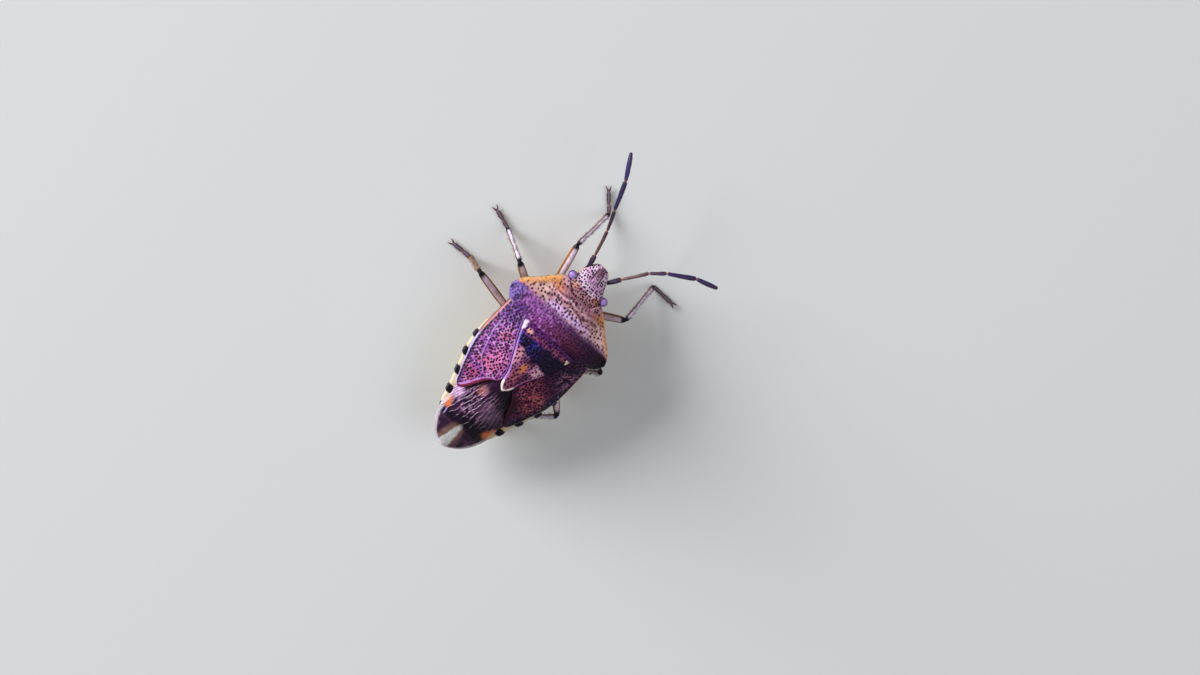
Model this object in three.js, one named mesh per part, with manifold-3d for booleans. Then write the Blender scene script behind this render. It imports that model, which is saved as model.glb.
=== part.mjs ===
// A shield bug (the parent bug, Elasmucha grisea), life size, standing on a flat floor on its six feet.
// Millimetres, +Z up. The head points along -Y and the bug's left side is +X.
// While it is built, y counts back from the tip of the head and x from the midline.
// At the end the whole bug is moved so that its origin is under its middle, on the floor.
import * as THREE from "three";
import { ConvexGeometry } from "three/addons/geometries/ConvexGeometry.js";
import { mergeVertices } from "three/addons/utils/BufferGeometryUtils.js";
import Module from "manifold-3d";

const wasm = await Module();
wasm.setup();

// Driving dimensions
const GAP = 0.1; // between two nodes that meet
const WING = 0.5; // thickness of a forewing
const LIMB_R = 0.25; // the least radius of a leg or feeler
const BODY_LENGTH = 8.15; // head tip to the membrane's end
const PRONOTUM_START = 1.08;
const PRONOTUM_END = 3.12;
const SCUTELLUM_START = 3.0;
const SCUTELLUM_END = 5.36;
const THORAX_END = 3.85;
const ABDOMEN_END = 7.95;
const EYE_R = 0.19;
const VEIN_R = 0.07;
const TARSUS_Z = 0.21; // height of a foot's centreline over the floor
const ANKLE_Z = 0.32;
const HIP_Z = 0.56;

// A smooth function through a few [at, value] pairs, flat beyond its ends.
function through(pairs) {
  const slope = (i) => {
    const a = pairs[Math.max(i - 1, 0)];
    const b = pairs[Math.min(i + 1, pairs.length - 1)];
    return (b[1] - a[1]) / (b[0] - a[0]);
  };
  return (at) => {
    const last = pairs.length - 1;
    if (at <= pairs[0][0]) return pairs[0][1];
    if (at >= pairs[last][0]) return pairs[last][1];
    const i = pairs.findIndex((p, k) => k < last && at < pairs[k + 1][0]);
    const [x0, v0] = pairs[i];
    const [x1, v1] = pairs[i + 1];
    const step = x1 - x0;
    const t = (at - x0) / step;
    const rise = v1 - v0;
    const a = slope(i) * step - rise;
    const b = rise - slope(i + 1) * step;
    return v0 + rise * t + t * (1 - t) * (a * (1 - t) + b * t);
  };
}

// Half widths from the midline, along the body
const pronotumWidth = through([
  [1.08, 0.9], [1.5, 1.26], [1.8, 1.66], [2.1, 2.05], [2.38, 2.19], [2.62, 2.1], [2.84, 1.88], [3.0, 1.6], [3.12, 1.3],
]);
const scutellumWidth = through([
  [3.0, 1.13], [3.5, 0.88], [4.0, 0.63], [4.5, 0.37], [4.9, 0.25], [5.2, 0.18], [5.36, 0.03],
]);
const wingWidth = through([
  [2.6, 1.8], [3.1, 1.9], [4.0, 1.86], [4.6, 1.79], [5.1, 1.66], [5.6, 1.48], [6.1, 1.32], [6.6, 1.13],
  [7.1, 1.04], [7.5, 0.9], [7.8, 0.68], [8.0, 0.43], [8.15, 0.06],
]);
const abdomenWidth = through([
  [3.8, 1.82], [4.3, 1.9], [4.8, 1.89], [5.4, 1.76], [6.2, 1.48], [6.8, 1.2], [7.2, 0.97], [7.6, 0.68], [7.95, 0.16],
]);
const thoraxWidth = through([[1.3, 0.7], [1.8, 1.1], [2.4, 1.5], [3.2, 1.62], [3.85, 1.66]]);
const headWidth = through([[0, 0.1], [0.06, 0.22], [0.22, 0.35], [0.48, 0.46], [0.8, 0.6], [1.3, 0.66]]);
const coriumInner = through([[5.0, 0.2], [5.25, 0.38], [5.55, 0.72], [5.9, 1.0], [6.12, 1.2], [6.25, 1.35]]);

// Heights over the floor, along the body
const edgeHeight = through([[1.0, 1.78], [2.4, 2.12], [4.0, 2.1], [5.5, 2.02], [6.6, 1.9], [8.15, 1.68]]);
const crownHeight = through([
  [1.1, 2.08], [1.7, 2.38], [2.5, 2.7], [3.1, 2.78], [4.2, 2.74], [5.3, 2.52], [6.2, 2.34], [7.2, 2.08], [8.15, 1.78],
]);
const seamHeight = through([[1.1, 1.4], [2.4, 1.62], [5.0, 1.65], [7.2, 1.45], [8.15, 1.25]]);
const bellyHeight = through([[1.2, 0.86], [2.2, 0.7], [5.0, 0.7], [6.6, 0.85], [7.95, 1.15]]);
const rimHeight = through([[3.8, 1.9], [5.0, 1.98], [6.6, 1.9], [7.95, 1.4]]);
const headCrown = through([[0, 1.52], [0.3, 1.72], [0.8, 1.96], [1.3, 2.08]]);
const headFloor = through([[0, 1.36], [0.3, 1.06], [0.8, 0.95], [1.3, 0.95]]);
const headEdge = through([[0, 1.44], [0.6, 1.5], [1.3, 1.6]]);

const MATERIALS = {
  pronotum: { color: 0xa47a86, roughness: 0.45 },
  scutellum: { color: 0x6e4a55, roughness: 0.45 },
  corium: { color: 0x87466f, roughness: 0.45 },
  membrane: { color: 0x3b2a30, roughness: 0.25 },
  abdomen: { color: 0xcbb276, roughness: 0.5 },
  thorax: { color: 0xb49a62, roughness: 0.55 },
  head: { color: 0xcdb0ae, roughness: 0.5 },
  eye: { color: 0x6c3f8c, roughness: 0.2 },
  antenna: { color: 0x2f2942, roughness: 0.4 },
  leg: { color: 0xa88a5a, roughness: 0.4 },
};
for (const [name, look] of Object.entries(MATERIALS))
  MATERIALS[name] = new THREE.MeshStandardMaterial({ ...look, metalness: 0, name });

const bug = new THREE.Group();

// A closed three.js geometry as a solid for joining and cutting.
function solid(geometry) {
  const bare = geometry.clone();
  bare.deleteAttribute("normal");
  bare.deleteAttribute("uv");
  const merged = mergeVertices(bare, 1e-4);
  const index = merged.index.array;
  const triVerts = [];
  for (let i = 0; i < index.length; i += 3) {
    const [a, b, c] = [index[i], index[i + 1], index[i + 2]];
    if (a !== b && b !== c && c !== a) triVerts.push(a, b, c);
  }
  return new wasm.Manifold(
    new wasm.Mesh({
      numProp: 3,
      vertProperties: new Float32Array(merged.attributes.position.array),
      triVerts: new Uint32Array(triVerts),
    }),
  );
}

// Adds a solid to the bug as a named mesh, keeping its largest closed piece.
function addNode(name, shape, material) {
  const pieces = shape.decompose().sort((a, b) => b.volume() - a.volume());
  const mesh = pieces[0].getMesh();
  const geometry = new THREE.BufferGeometry();
  geometry.setAttribute("position", new THREE.BufferAttribute(mesh.vertProperties.slice(), 3));
  geometry.setIndex(new THREE.BufferAttribute(mesh.triVerts.slice(), 1));
  geometry.computeVertexNormals();
  const node = new THREE.Mesh(geometry, MATERIALS[material]);
  node.name = name;
  bug.add(node);
  return node;
}

const union = (shapes) => wasm.Manifold.union(shapes);

// A lens-like plate between two height functions, whose edges run along +/-width(y) and are rounded.
// power shapes the cross-section: 2 is an ellipse, and more is squarer.
function plate({ from, to, width, edge, top, bottom, power = 2.4, rows, cols, grow = 0 }) {
  const points = [];
  const faces = [];
  const row = cols + 1;
  for (let j = 0; j <= rows; j++) {
    const y = from - grow + ((to - from + 2 * grow) * j) / rows;
    const half = width(y) + grow;
    const middle = edge(y);
    for (const face of [1, -1])
      for (let i = 0; i <= cols; i++) {
        const across = -Math.cos((Math.PI * i) / cols);
        const x = half * across;
        const share = Math.pow(Math.max(0, 1 - Math.pow(Math.abs(across), power)), 1 / power);
        const reach = (face > 0 ? top(x, y) : bottom(x, y)) + face * grow - middle;
        points.push(x, y, middle + reach * share);
      }
  }
  const at = (j, face, i) => (2 * j + face) * row + i;
  const quad = (a, b, c, d) => faces.push(a, b, c, a, c, d);
  for (let j = 0; j < rows; j++)
    for (let i = 0; i < cols; i++) {
      quad(at(j, 0, i), at(j, 0, i + 1), at(j + 1, 0, i + 1), at(j + 1, 0, i));
      quad(at(j, 1, i), at(j + 1, 1, i), at(j + 1, 1, i + 1), at(j, 1, i + 1));
    }
  for (let i = 0; i < cols; i++) {
    quad(at(0, 0, i), at(0, 1, i), at(0, 1, i + 1), at(0, 0, i + 1));
    quad(at(rows, 0, i), at(rows, 0, i + 1), at(rows, 1, i + 1), at(rows, 1, i));
  }
  const geometry = new THREE.BufferGeometry();
  geometry.setAttribute("position", new THREE.Float32BufferAttribute(points, 3));
  geometry.setIndex(faces);
  return solid(geometry);
}

// A vertical prism over a plan outline, for cutting plates apart.
function prism(outline, low = 0, high = 4) {
  const shape = new THREE.Shape(outline.map(([x, y]) => new THREE.Vector2(x, y)));
  const geometry = new THREE.ExtrudeGeometry(shape, { depth: high - low, bevelEnabled: false });
  geometry.translate(0, 0, low);
  return solid(geometry);
}

// Points [x, y] along x = line(y).
function trace(line, from, to, steps) {
  const points = [];
  for (let i = 0; i <= steps; i++) {
    const y = from + ((to - from) * i) / steps;
    points.push([line(y), y]);
  }
  return points;
}

// The plan outline of a plate that is symmetrical about the midline, grown by the gap where asked.
function planOutline(width, from, to, grow = 0) {
  const side = trace((y) => width(y) + grow, from, to + grow, 14);
  return [...side, ...side.map(([x, y]) => [-x, y]).reverse()];
}

function ball(at, radius, squash = [1, 1, 1], detail = 1) {
  const geometry = new THREE.IcosahedronGeometry(radius, detail);
  geometry.scale(...squash);
  geometry.translate(...at);
  return geometry;
}

const cornersOf = (geometry) => {
  const place = geometry.attributes.position;
  return Array.from({ length: place.count }, (_, i) => new THREE.Vector3().fromBufferAttribute(place, i));
};

// A round limb through [x, y, z, radius] stations.
function limb(stations, detail = 1) {
  const balls = stations.map(([x, y, z, radius]) => cornersOf(ball([x, y, z], radius, [1, 1, 1], detail)));
  return union(balls.slice(1).map((next, i) => solid(new ConvexGeometry([...balls[i], ...next]))));
}

// Head

// The raised strip down the middle of the snout, with a groove at each side
function tylus(x, y) {
  const strip = 0.06 * Math.exp(-((x / 0.13) ** 4));
  const fade = Math.max(0, Math.min(1, (0.75 - y) / 0.3));
  return strip * fade;
}

const headShape = (grow = 0) =>
  plate({
    from: 0,
    to: 1.3,
    width: headWidth,
    edge: headEdge,
    power: 2.3,
    rows: 10,
    cols: 16,
    grow,
    top: (x, y) => headCrown(y) + tylus(x, y),
    bottom: (x, y) => headFloor(y),
  });

const eyeShape = (side, grow = 0) => solid(ball([side * 0.74, 0.88, 1.74], EYE_R + grow, [1, 0.95, 0.9], 2));
const eyeSockets = union([eyeShape(1, GAP), eyeShape(-1, GAP)]);
const headGrown = headShape(GAP);

addNode("head", headShape().subtract(eyeSockets), "head");
addNode("eye_left", eyeShape(1), "eye");
addNode("eye_right", eyeShape(-1), "eye");

// Wings: one domed shell over the back, which is then cut into its plates

const dome = (crown, edge, width, power) => (x, y) =>
  edge(y) + (crown(y) - edge(y)) * (1 - Math.pow(Math.min(1, Math.abs(x) / width(y)), power));

const wingTop = dome(crownHeight, edgeHeight, wingWidth, 2.1);
const wingShell = ({ drop = 0, grow = 0, rows = 26, cols = 24 }) =>
  plate({
    from: 2.6,
    to: BODY_LENGTH,
    width: wingWidth,
    edge: (y) => edgeHeight(y) - 0.12,
    power: 3,
    rows,
    cols,
    grow,
    top: (x, y) => wingTop(x, y) - drop,
    bottom: (x, y) => wingTop(x, y) - WING,
  });

const pronotumCut = prism(planOutline(pronotumWidth, 1.0, PRONOTUM_END, GAP));
const scutellumCut = prism(planOutline(scutellumWidth, SCUTELLUM_START, SCUTELLUM_END, GAP));

// The leathery front part of one forewing, seen from above
function coriumRegion(side, grow = 0) {
  const margin = trace((y) => side * (coriumInner(y) - grow), 5.0, 6.2 + grow, 12);
  return prism([[0, 2.5], [0, 5.0], ...margin, [side * 2.6, 6.2 + grow], [side * 2.6, 2.5]]);
}

// The veins of the membrane fan back from the corium's hind margin.
const overlapLine = through([[5.3, -0.28], [5.9, -0.6], [6.5, -0.83], [7.2, -1.1], [8.2, -1.3]]);
const VEINS = [-1, 0, 1, 2, 3];
const membraneDrop = 0.1;
const veins = VEINS.map((k) => {
  const line = (y) => 0.27 * k * (1 - 0.12 * (y - 5.6)) + 0.04 * Math.sin(2.2 * y + k);
  const start = 5.55 + 0.16 * k;
  const places = trace(line, start, 7.4 - 0.08 * k, 3);
  return limb(places.map(([x, y]) => [x, y, wingTop(x, y) - membraneDrop, VEIN_R]), 0);
});
const coriaGrown = union([coriumRegion(1, GAP), coriumRegion(-1, GAP)]);
const membranes = wingShell({ drop: membraneDrop })
  .add(union(veins))
  .subtract(scutellumCut)
  .subtract(coriaGrown)
  .intersect(prism([[-2, 5.2], [2, 5.2], [2, 8.4], [-2, 8.4]]));
const leftOfOverlap = prism([...trace(overlapLine, 5, 8.4, 12), [2.6, 8.4], [2.6, 5]]);
const rightOfOverlap = prism([...trace((y) => overlapLine(y) - GAP, 5, 8.4, 12), [-2.6, 8.4], [-2.6, 5]]);

const coria = wingShell({}).subtract(pronotumCut).subtract(scutellumCut);
addNode("corium_left", coria.intersect(coriumRegion(1)), "corium");
addNode("corium_right", coria.intersect(coriumRegion(-1)), "corium");
addNode("membrane_left", membranes.intersect(leftOfOverlap), "membrane");
addNode("membrane_right", membranes.intersect(rightOfOverlap), "membrane");
const wingsGrown = wingShell({ grow: GAP, rows: 20, cols: 18 });

// Thorax: the pronotum and scutellum above, and the underside that carries the legs

// The two calluses behind the head and the swelling of the pronotum's rear half
function pronotumTop(x, y) {
  const callus = 0.05 * Math.exp(-(((Math.abs(x) - 0.62) / 0.3) ** 2) - ((y - 1.55) / 0.18) ** 2);
  const swell = 0.06 * Math.exp(-(((y - 2.6) / 0.35) ** 2));
  return dome(crownHeight, edgeHeight, pronotumWidth, 1.9)(x, y) + callus + swell;
}

const pronotumShape = plate({
  from: PRONOTUM_START,
  to: PRONOTUM_END,
  width: pronotumWidth,
  edge: edgeHeight,
  power: 2.6,
  rows: 16,
  cols: 22,
  top: pronotumTop,
  bottom: (x, y) => seamHeight(y) + GAP / 2,
});
addNode("pronotum", pronotumShape.subtract(headGrown).subtract(eyeSockets), "pronotum");

const scutellumShape = plate({
  from: SCUTELLUM_START,
  to: SCUTELLUM_END,
  width: wingWidth,
  edge: (y) => edgeHeight(y) - 0.12,
  power: 3,
  rows: 14,
  cols: 24,
  top: (x, y) => wingTop(x, y) + 0.06,
  bottom: (x, y) => wingTop(x, y) - WING,
});
addNode(
  "scutellum",
  scutellumShape
    .intersect(prism(planOutline(scutellumWidth, SCUTELLUM_START, SCUTELLUM_END)))
    .subtract(pronotumCut),
  "scutellum",
);

const thoraxShape = (grow = 0) =>
  plate({
    from: 1.25,
    to: THORAX_END,
    width: thoraxWidth,
    edge: (y) => seamHeight(y) - 0.3,
    power: 2.2,
    rows: 10,
    cols: 16,
    grow,
    top: (x, y) => seamHeight(y) - GAP / 2,
    bottom: (x, y) => bellyHeight(y),
  });
const thoraxGrown = thoraxShape(GAP);
// The hind part of the thorax reaches up to the wings.
const thoraxBack = plate({
  from: PRONOTUM_END + GAP,
  to: THORAX_END,
  width: thoraxWidth,
  edge: (y) => seamHeight(y),
  power: 4,
  rows: 3,
  cols: 16,
  top: (x, y) => wingTop(x, y),
  bottom: (x, y) => seamHeight(y) - 0.5,
});
addNode("thorax", thoraxShape().add(thoraxBack).subtract(wingsGrown).subtract(headGrown), "thorax");

// Abdomen: its rim shows outside the wings, with a dark knob at each segment's hind corner.

const abdomenShape = (grow = 0) =>
  plate({
    from: THORAX_END + GAP,
    to: ABDOMEN_END,
    width: abdomenWidth,
    edge: (y) => rimHeight(y) - 0.12,
    power: 2.3,
    rows: 20,
    cols: 20,
    grow,
    top: dome(crownHeight, rimHeight, abdomenWidth, 2),
    bottom: (x, y) => bellyHeight(y),
  });
const KNOBS = [[4.52, 1.86], [5.22, 1.77], [5.88, 1.57], [6.54, 1.3], [7.12, 0.98]]; // [y, x]
const knobs = KNOBS.flatMap(([y, x]) =>
  [1, -1].map((side) => solid(ball([side * x, y, rimHeight(y) - 0.1], 0.13, [0.9, 1.2, 0.9]))),
);
addNode("abdomen", union([abdomenShape(), ...knobs]).subtract(wingsGrown), "abdomen");

// The beak, folded back under the head and between the fore legs
addNode(
  "beak",
  limb([[0, 0.3, 1.05, 0.2], [0, 0.75, 0.62, 0.22], [0, 1.6, 0.46, 0.2], [0, 2.15, 0.38, 0.09]])
    .subtract(headGrown)
    .subtract(thoraxGrown),
  "head",
);

// Feelers: five pieces each, from the base to the tip

const ANTENNAE = {
  left: [[0.45, 0.42, 1.22], [0.57, -0.1, 1.6], [0.96, -1.0, 2.0], [1.32, -1.67, 2.2], [1.76, -2.65, 2.3], [2.28, -3.5, 2.2]],
  right: [[-0.45, 0.42, 1.22], [-0.7, -0.1, 1.6], [-1.14, -0.9, 2.0], [-1.53, -1.3, 2.2], [-2.4, -1.85, 2.3], [-3.22, -2.1, 2.2]],
};

function antenna(joints) {
  const between = (a, b, share) => a.map((v, i) => v + (b[i] - v) * share);
  const last = joints.length - 1;
  const stations = joints.map((joint, i) => [...joint, i === last ? 0.1 : LIMB_R]);
  stations.splice(last, 0, [...between(joints[last - 1], joints[last], 0.7), LIMB_R]);
  return limb(stations);
}

for (const [side, joints] of Object.entries(ANTENNAE))
  addNode("antenna_" + side, antenna(joints).subtract(headGrown), "antenna");

// Legs: coxa, knee, ankle and the end of the foot, as the bug stands in mid-stride

const LEGS = {
  fore_left: { coxa: [0.5, 1.75], knee: [1.2, 0.02, 1.35], ankle: [0.77, -1.42], toe: [1.34, -2.0] },
  fore_right: { coxa: [-0.5, 1.75], knee: [-1.88, 0.84, 1.35], ankle: [-2.16, -0.62], toe: [-3.1, -0.6] },
  mid_left: { coxa: [0.7, 2.55], knee: [2.42, 1.75, 1.8], ankle: [3.05, 1.27], toe: [3.77, 1.05] },
  mid_right: { coxa: [-0.7, 2.55], knee: [-2.5, 2.72, 1.45], ankle: [-2.05, 3.4], toe: [-2.1, 4.15] },
  hind_left: { coxa: [0.8, 3.35], knee: [3.22, 2.9, 1.85], ankle: [3.33, 2.86], toe: [4.09, 2.9] },
  hind_right: { coxa: [-0.8, 3.35], knee: [-2.48, 4.85, 1.2], ankle: [-1.7, 5.9], toe: [-1.5, 6.6] },
};

function leg({ coxa, knee, ankle, toe }) {
  const hip = [coxa[0] * 1.15, coxa[1], HIP_Z];
  const thigh = hip.map((v, i) => v + (knee[i] - v) * 0.5);
  const heel = [...ankle, ANKLE_Z];
  const end = [...toe, TARSUS_Z];
  const sole = [ankle[0] * 0.7 + toe[0] * 0.3, ankle[1] * 0.7 + toe[1] * 0.3, TARSUS_Z];
  const shaft = limb([
    [...coxa, HIP_Z + 0.4, 0.3],
    [...hip, 0.27],
    [...thigh, 0.28],
    [...knee, 0.26],
    [...heel, LIMB_R],
    [...sole, LIMB_R],
    [...end, LIMB_R],
  ]);
  const way = new THREE.Vector3(toe[0] - ankle[0], toe[1] - ankle[1], 0).normalize();
  const claws = [1, -1].map((side) =>
    limb([
      [...end, 0.16],
      [end[0] + 0.42 * way.x - 0.2 * side * way.y, end[1] + 0.42 * way.y + 0.2 * side * way.x, 0.08, 0.07],
    ]),
  );
  return union([shaft, ...claws]);
}

// What a leg stops at: the body, and the floor, which leaves a small flat under each foot
const underFloor = prism([[-9, -9], [9, -9], [9, 15], [-9, 15]], -4, 0);
const aroundLegs = union([underFloor, thoraxGrown, headGrown, abdomenShape(GAP)]);

for (const [name, joints] of Object.entries(LEGS))
  addNode("leg_" + name, leg(joints).subtract(aroundLegs), "leg");

// Moves the bug so that the origin is on the floor under the middle of its box.
const box = new THREE.Box3().setFromObject(bug);
const middle = box.getCenter(new THREE.Vector3());
bug.position.set(-middle.x, -middle.y, -box.min.z);
bug.updateMatrixWorld(true);

export default bug;
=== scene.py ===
import math

import bpy
import numpy as np
from mathutils import Matrix, Vector


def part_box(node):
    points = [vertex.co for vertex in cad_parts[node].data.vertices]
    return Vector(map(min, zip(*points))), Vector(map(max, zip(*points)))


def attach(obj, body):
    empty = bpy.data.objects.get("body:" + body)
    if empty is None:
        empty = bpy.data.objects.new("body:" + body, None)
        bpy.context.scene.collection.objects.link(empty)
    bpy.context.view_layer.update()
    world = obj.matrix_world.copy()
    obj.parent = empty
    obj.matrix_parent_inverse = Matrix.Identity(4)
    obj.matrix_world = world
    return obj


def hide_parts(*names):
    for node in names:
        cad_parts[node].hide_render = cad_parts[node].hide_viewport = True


# The looks of a shield bug that stands on a flat floor, head towards -Y and its left side towards +X.
# Places are in millimetres: x to the bug's left, y back from the tip of the head, z up from the floor.

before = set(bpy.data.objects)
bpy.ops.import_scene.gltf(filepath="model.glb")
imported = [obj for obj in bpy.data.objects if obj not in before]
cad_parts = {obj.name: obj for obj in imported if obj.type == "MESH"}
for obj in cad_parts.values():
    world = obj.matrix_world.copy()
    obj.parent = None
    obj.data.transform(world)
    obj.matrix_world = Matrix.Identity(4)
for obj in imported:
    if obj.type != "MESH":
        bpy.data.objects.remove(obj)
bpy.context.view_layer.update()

MM = 0.001
SIDES = {"left": 1, "right": -1}  # the sign of x on each side
EYE_Y, EYE_X, EYE_Z, EYE_R = 0.88, 0.74, 1.74, 0.165
EYE_INSET = 0.02
SEED = 7
PIT_DEPTH = 0.02
CORIUM_THICKNESS = 0.16
FILM_THICKNESS = 0.02
FILM_DROP = {"left": 0.05, "right": 0.075}  # how far each wing film lies under the back
PRONOTUM_HALF = 2.195
SCUTELLUM_THICKNESS = 0.35
BRISTLE_RADII = (0.007, 0.005, 0.001)
FLOOR_CLEARANCE = 0.03  # the least height of a bristle
random = np.random.default_rng(SEED)


def offset_from_frame():
    """Where the bug's own zero point lies in the frame, found from the two eyes."""
    corners = [np.array(corner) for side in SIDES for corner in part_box("eye_" + side)]
    return np.mean(corners, axis=0) / MM - np.array([0.0, EYE_Y, EYE_Z])


OFFSET = offset_from_frame() * [1, 1, 0]


def in_frame(points):
    return (np.asarray(points, float) + OFFSET) * MM


# Curves and masks


def through(*pairs):
    """A smooth function through (at, value) pairs, flat beyond its ends."""
    at, value = np.array(pairs, float).T
    slope = np.gradient(value, at)
    slope[1:-1] = (value[2:] - value[:-2]) / (at[2:] - at[:-2])

    def curve(x):
        x = np.clip(x, at[0], at[-1])
        i = np.clip(np.searchsorted(at, x, side="right") - 1, 0, len(at) - 2)
        step = at[i + 1] - at[i]
        t = (x - at[i]) / step
        rise = value[i + 1] - value[i]
        a = slope[i] * step - rise
        b = rise - slope[i + 1] * step
        return value[i] + rise * t + t * (1 - t) * (a * (1 - t) + b * t)

    return curve


def smooth(low, high, x):
    """0 below low, 1 above high and an even step between; a falling step where high is under low."""
    t = np.clip((x - low) / (high - low), 0, 1)
    return t * t * (3 - 2 * t)


def spot(x, y, cx, cy, rx, ry, edge=0.35):
    """1 inside an ellipse and 0 outside it, with a soft edge."""
    reach = np.sqrt(((x - cx) / rx) ** 2 + ((y - cy) / ry) ** 2)
    return smooth(1 + edge, 1 - edge, reach)


def band(x, low, high, edge=0.03):
    return smooth(low - edge, low + edge, x) * smooth(high + edge, high - edge, x)


def lattice(i, j, seed):
    """A fixed random number from 0 to 1 for each cell of a grid."""
    h = np.sin(i * 127.1 + j * 311.7 + seed * 74.7) * 43758.5453
    return h - np.floor(h)


def noise(x, y, size, seed=0):
    """Soft noise from 0 to 1 with blots about size across."""
    u, v = np.broadcast_arrays(np.asarray(x, float) / size, np.asarray(y, float) / size)
    i, j = np.floor(u), np.floor(v)
    s, t = smooth(0, 1, u - i), smooth(0, 1, v - j)
    low = lattice(i, j, seed) * (1 - s) + lattice(i + 1, j, seed) * s
    high = lattice(i, j + 1, seed) * (1 - s) + lattice(i + 1, j + 1, seed) * s
    return low * (1 - t) + high * t


def punctures(x, y, gap, radius, seed, keep=1.0, wave=0.0, stretch=1.0):
    """1 in the middle of each small pit and 0 between them. The pits lie in rows that wander by wave."""
    u = x / (gap * stretch)
    v = (y + wave * np.sin(x * 5.0 + seed) + 0.5 * wave * np.sin(x * 13.0)) / gap
    i, j = np.floor(u), np.floor(v)
    best = np.full(np.shape(u), 9.0)
    for di in (-1, 0, 1):
        for dj in (-1, 0, 1):
            ci, cj = i + di, j + dj
            pu = ci + 0.18 + 0.64 * lattice(ci, cj, seed)
            pv = cj + 0.18 + 0.64 * lattice(ci, cj, seed + 1)
            size = 0.75 + 0.5 * lattice(ci, cj, seed + 2)
            near = np.hypot((u - pu) * stretch, v - pv) * gap / (radius * size)
            here = lattice(ci, cj, seed + 3) < keep
            best = np.where(here, np.minimum(best, near), best)
    return smooth(1.25, 0.55, best)


def rgb(red, green, blue):
    """A colour as the eye reads it, from 0 to 255, as linear light."""
    c = np.array([red, green, blue]) / 255
    return np.where(c <= 0.04045, c / 12.92, ((c + 0.055) / 1.055) ** 2.4)


def lay(paint, colour, mask):
    """Lays a colour over the paint where mask is 1."""
    mask = np.clip(mask, 0, 1)[..., None]
    return paint * (1 - mask) + np.asarray(colour) * mask


def layered(paint, *layers):
    """Lays (colour, mask) layers over the paint, in order."""
    for colour, mask in layers:
        paint = lay(paint, colour, mask)
    return paint


def ground(shape, colour):
    return np.broadcast_to(np.asarray(colour, float), (*shape, 3)).copy()


# Colours

CREAM = rgb(208, 192, 158)
IVORY = rgb(222, 208, 198)
ORANGE = rgb(236, 160, 66)
MAROON = rgb(84, 32, 72)
WINE = rgb(62, 24, 52)
BLACK = rgb(20, 8, 22)
PIT = rgb(30, 4, 32)
SMOKE = rgb(66, 40, 50)
BELLY = rgb(196, 176, 116)

# The body's outline from above, and its heights

pronotum_width = through(
    (1.08, 0.9), (1.5, 1.36), (1.8, 1.73), (2.1, 2.05), (2.38, 2.19), (2.62, 2.13), (2.84, 1.92),
    (3.0, 1.65), (3.12, 1.3),
)
pronotum_front = through(
    (0, 1.36), (0.45, 1.33), (0.6, 1.17), (0.74, 1.03), (0.9, 1.1), (1.2, 1.34), (1.5, 1.63),
    (1.78, 1.86), (2.0, 2.06), (2.13, 2.26), (2.2, 2.44),
)
pronotum_rear = through((0, 3.07), (1.2, 3.12), (1.45, 3.07), (1.87, 2.87), (2.1, 2.66), (2.2, 2.46))
scutellum_width = through(
    (2.9, 1.18), (3.15, 1.08), (3.5, 0.95), (3.9, 0.75), (4.3, 0.54), (4.65, 0.36), (5.0, 0.26),
    (5.2, 0.18), (5.36, 0.02),
)
corium_inner = through(
    (2.7, 1.2), (3.15, 1.1), (3.5, 0.97), (3.9, 0.77), (4.3, 0.56), (4.65, 0.38), (5.0, 0.28),
    (5.18, 0.32), (5.3, 0.46), (5.5, 0.62), (5.75, 0.74), (6.0, 0.86), (6.15, 0.95), (6.24, 1.03),
    (6.28, 1.1),
)
corium_outer = through(
    (2.7, 1.84), (3.4, 1.87), (4.1, 1.87), (4.5, 1.84), (4.9, 1.76), (5.3, 1.62), (5.7, 1.47),
    (6.0, 1.34), (6.15, 1.27), (6.24, 1.19), (6.28, 1.11),
)
wing_width = through(
    (2.6, 1.84), (3.4, 1.87), (4.1, 1.87), (4.5, 1.84), (4.9, 1.76), (5.3, 1.62), (5.7, 1.47),
    (6.05, 1.32), (6.4, 1.18), (6.8, 1.09), (7.15, 1.03), (7.5, 0.88), (7.8, 0.67), (8.0, 0.44),
    (8.12, 0.22), (8.17, 0.05),
)
abdomen_width = through(
    (3.2, 1.6), (3.8, 1.82), (4.3, 1.87), (4.8, 1.83), (5.2, 1.74), (5.5, 1.63), (6.0, 1.44),
    (6.4, 1.3), (6.75, 1.18), (7.0, 1.08), (7.4, 0.82), (7.76, 0.55), (7.95, 0.3), (8.02, 0.1),
)
head_width = through(
    (0, 0.16), (0.04, 0.24), (0.14, 0.34), (0.3, 0.42), (0.5, 0.5), (0.66, 0.56), (0.78, 0.64),
    (0.9, 0.7), (1.05, 0.69), (1.4, 0.62),
)
thorax_width = through((1.2, 0.75), (1.8, 1.2), (2.4, 1.56), (3.2, 1.66), (3.95, 1.7))
edge_height = through((1.0, 1.78), (2.4, 2.12), (4.0, 2.08), (5.5, 1.98), (6.6, 1.86), (8.17, 1.62))
crown_height = through(
    (1.1, 2.08), (1.7, 2.4), (2.5, 2.74), (3.1, 2.8), (4.2, 2.74), (5.3, 2.52), (6.2, 2.34),
    (7.2, 2.08), (8.17, 1.72),
)
seam_height = through((1.1, 1.4), (2.4, 1.62), (5.0, 1.65), (7.2, 1.45), (8.15, 1.25))
belly_height = through((1.2, 0.86), (2.2, 0.7), (5.0, 0.7), (6.6, 0.85), (7.95, 1.2))
rim_height = through((3.8, 1.92), (5.0, 2.0), (6.6, 1.88), (8.0, 1.5))
head_crown = through((0, 1.5), (0.3, 1.7), (0.8, 1.94), (1.2, 2.06), (1.4, 2.1))
head_floor = through((0, 1.36), (0.3, 1.06), (0.8, 0.95), (1.4, 0.95))
head_edge = through((0, 1.44), (0.5, 1.54), (0.88, 1.7), (1.4, 1.72))


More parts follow.
